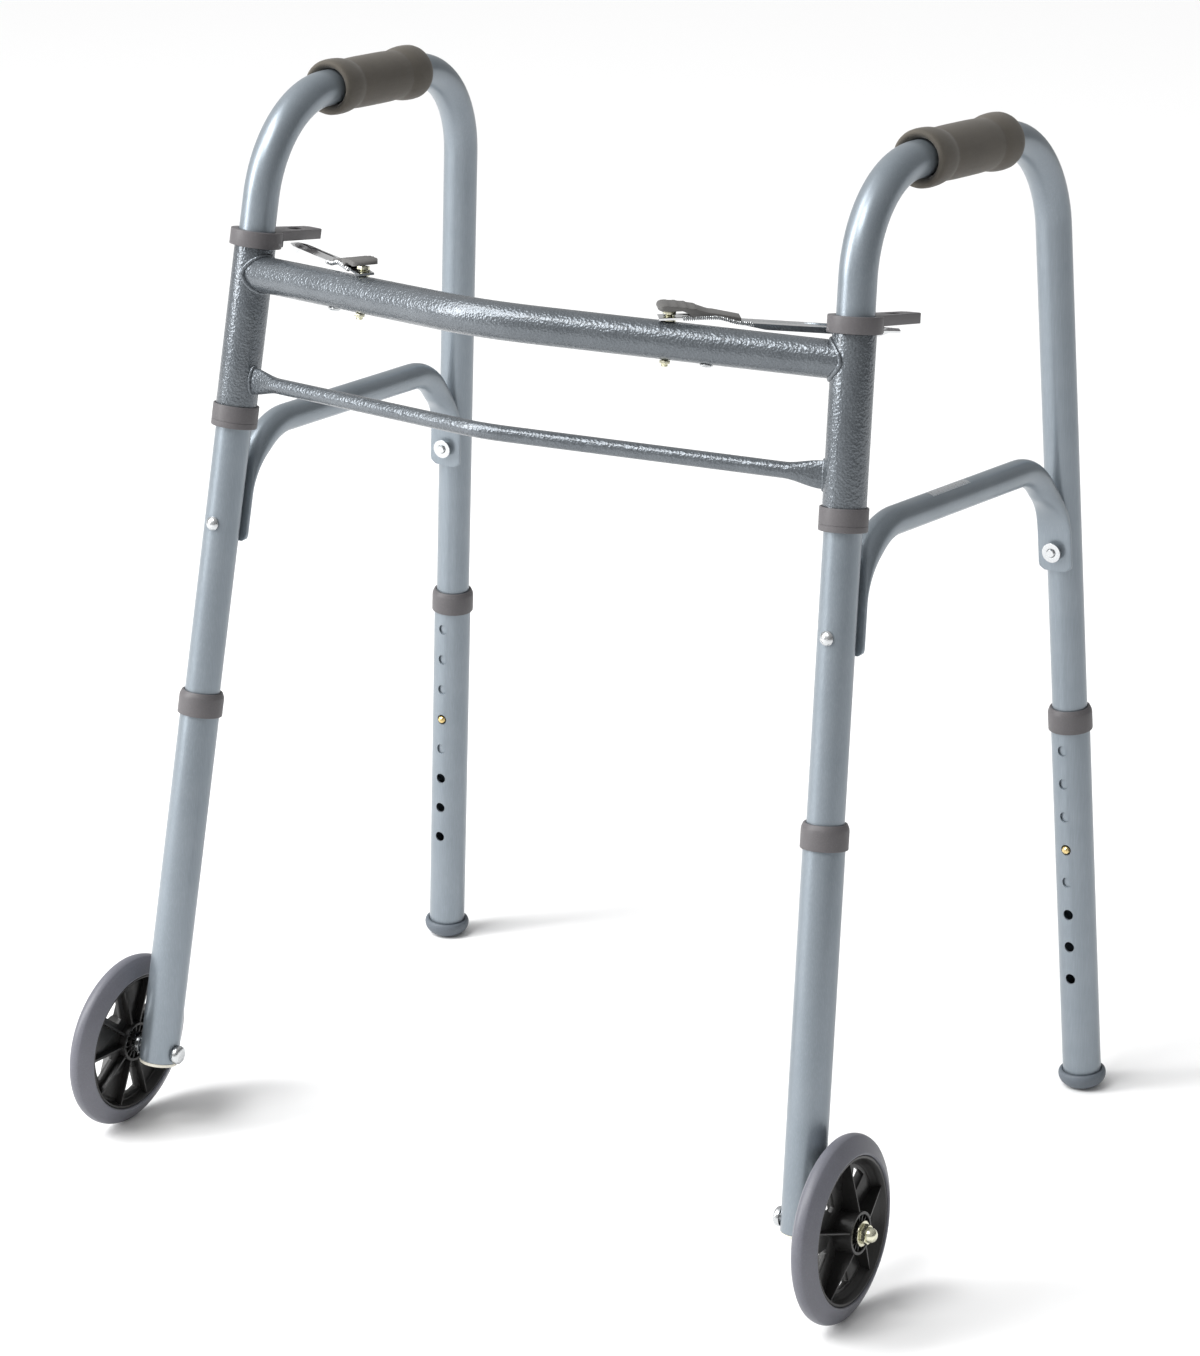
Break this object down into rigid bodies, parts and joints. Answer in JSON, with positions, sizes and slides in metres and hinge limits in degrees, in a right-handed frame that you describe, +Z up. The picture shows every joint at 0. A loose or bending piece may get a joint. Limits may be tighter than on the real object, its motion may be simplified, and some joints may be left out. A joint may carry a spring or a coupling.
{
  "type": "front wheeled walker",
  "caption": "Folding walking frame with wheels on its front legs, glide caps on its rear legs, moulded grips and height-adjustable legs.",
  "frame": {"origin": "floor, midway between the two side frames and midway between the foremost and rearmost points", "axes": "+Z up, -Y towards the front (wheels), +X towards the user's left"},
  "size_m": [0.6332, 0.4851, 0.7476],
  "materials": {
    "anodised_tube": "satin anodised, bluish silver",
    "hammertone": "dark grey, slightly pebbled paint",
    "grey_plastic": "moulded, matt",
    "grip_vinyl": "moulded vinyl, matt",
    "zinc": "zinc plated",
    "brass": "bare, bright",
    "tyre_rubber": "smooth solid tyre",
    "hub_plastic": "moulded, semi-matt",
    "nylon": "moulded, off-white",
    "chrome": "bright plated",
    "glide_rubber": "moulded, matt"
  },
  "bodies": {
    "front_frame": {"upper_crossbar": "hammertone", "lower_crossbar": "hammertone", "left_sleeve": "hammertone", "left_sleeve_bushing": "grey_plastic", "left_lever_bolt": "zinc", "left_lever_rivet": "zinc", "right_sleeve": "hammertone", "right_sleeve_bushing": "grey_plastic", "right_lever_bolt": "zinc", "right_lever_rivet": "zinc"},
    "left_side_frame": {"left_side_tube": "anodised_tube", "left_handgrip": "grip_vinyl", "left_brace": "anodised_tube", "left_latch_collar": "grey_plastic", "left_front_brace_bolt": "zinc", "left_front_brace_nut": "zinc", "left_rear_brace_bolt": "zinc", "left_rear_brace_nut": "zinc"},
    "left_lever": {"left_lever_strip": "chrome", "left_lever_pad": "grey_plastic"},
    "left_front_leg": {"left_front_extension": "anodised_tube", "left_front_leg_clamp": "grey_plastic", "left_end_plug": "nylon", "left_axle_bolt": "zinc", "left_axle_nut": "zinc", "left_axle_spacer": "zinc"},
    "left_rear_leg": {"left_rear_extension": "anodised_tube", "left_rear_leg_clamp": "grey_plastic", "left_glide_cap": "glide_rubber"},
    "left_wheel": {"left_tyre": "tyre_rubber", "left_hub": "hub_plastic"},
    "left_front_button": {"left_front_snap_button": "brass"},
    "left_rear_button": {"left_rear_snap_button": "brass"},
    "right_side_frame": {"right_side_tube": "anodised_tube", "right_handgrip": "grip_vinyl", "right_brace": "anodised_tube", "right_latch_collar": "grey_plastic", "right_front_brace_bolt": "zinc", "right_front_brace_nut": "zinc", "right_rear_brace_bolt": "zinc", "right_rear_brace_nut": "zinc"},
    "right_lever": {"right_lever_strip": "chrome", "right_lever_pad": "grey_plastic"},
    "right_front_leg": {"right_front_extension": "anodised_tube", "right_front_leg_clamp": "grey_plastic", "right_end_plug": "nylon", "right_axle_bolt": "zinc", "right_axle_nut": "zinc", "right_axle_spacer": "zinc"},
    "right_rear_leg": {"right_rear_extension": "anodised_tube", "right_rear_leg_clamp": "grey_plastic", "right_glide_cap": "glide_rubber"},
    "right_wheel": {"right_tyre": "tyre_rubber", "right_hub": "hub_plastic"},
    "right_front_button": {"right_front_snap_button": "brass"},
    "right_rear_button": {"right_rear_snap_button": "brass"}
  },
  "joints": [
    {"name": "left_frame_fold", "type": "hinge", "parent": "front_frame", "child": "left_side_frame", "pos_m": [0.23594, -0.08285, 0.57], "axis": [-0.0499, 0.1864, 0.9812], "range_deg": [0, 88]},
    {"name": "left_lever_tip", "type": "hinge", "parent": "front_frame", "child": "left_lever", "pos_m": [0.118, -0.10755, 0.6365], "axis": [-0.6025, 0.7981, 0], "range_deg": [0, 1.5], "stiffness_Nm_per_rad": 5, "springref_deg": -1.15},
    {"name": "left_front_height", "type": "slide", "parent": "left_side_frame", "child": "left_front_leg", "axis": [-0.0499, 0.1864, 0.9812], "range_m": [-0.1016, 0.0762], "deforming": ["left_front_snap_button"]},
    {"name": "left_rear_height", "type": "slide", "parent": "left_side_frame", "child": "left_rear_leg", "axis": [-0.0588, -0.0307, 0.9978], "range_m": [-0.0762, 0.1016], "deforming": ["left_rear_snap_button"]},
    {"name": "left_wheel_spin", "type": "hinge", "parent": "left_front_leg", "child": "left_wheel", "pos_m": [0.29071, -0.17908, 0.06352], "axis": [0.9988, 0.0093, 0.049], "continuous": true},
    {"name": "left_front_button_press", "type": "slide", "parent": "left_side_frame", "child": "left_front_button", "axis": [-0.0468, -0.9818, 0.1842], "range_m": [0, 0.0042], "stiffness_N_per_m": 1500, "deforming": ["left_front_snap_button"]},
    {"name": "left_rear_button_press", "type": "slide", "parent": "left_side_frame", "child": "left_rear_button", "axis": [0.0349, 0.9989, 0.0328], "range_m": [0, 0.0042], "stiffness_N_per_m": 1500, "deforming": ["left_rear_snap_button"]},
    {"name": "right_frame_fold", "type": "hinge", "parent": "front_frame", "child": "right_side_frame", "pos_m": [-0.23594, -0.08285, 0.57], "axis": [0.0499, 0.1864, 0.9812], "range_deg": [-88, 0]},
    {"name": "right_lever_tip", "type": "hinge", "parent": "front_frame", "child": "right_lever", "pos_m": [-0.118, -0.10755, 0.6365], "axis": [-0.6025, -0.7981, 0], "range_deg": [0, 1.5], "stiffness_Nm_per_rad": 5, "springref_deg": -1.15},
    {"name": "right_front_height", "type": "slide", "parent": "right_side_frame", "child": "right_front_leg", "axis": [0.0499, 0.1864, 0.9812], "range_m": [-0.1016, 0.0762], "deforming": ["right_front_snap_button"]},
    {"name": "right_rear_height", "type": "slide", "parent": "right_side_frame", "child": "right_rear_leg", "axis": [0.0588, -0.0307, 0.9978], "range_m": [-0.0762, 0.1016], "deforming": ["right_rear_snap_button"]},
    {"name": "right_wheel_spin", "type": "hinge", "parent": "right_front_leg", "child": "right_wheel", "pos_m": [-0.29071, -0.17908, 0.06352], "axis": [-0.9988, 0.0093, 0.049], "continuous": true},
    {"name": "right_front_button_press", "type": "slide", "parent": "right_side_frame", "child": "right_front_button", "axis": [0.0468, -0.9818, 0.1842], "range_m": [0, 0.0042], "stiffness_N_per_m": 1500, "deforming": ["right_front_snap_button"]},
    {"name": "right_rear_button_press", "type": "slide", "parent": "right_side_frame", "child": "right_rear_button", "axis": [-0.0349, 0.9989, 0.0328], "range_m": [0, 0.0042], "stiffness_N_per_m": 1500, "deforming": ["right_rear_snap_button"]}
  ]
}
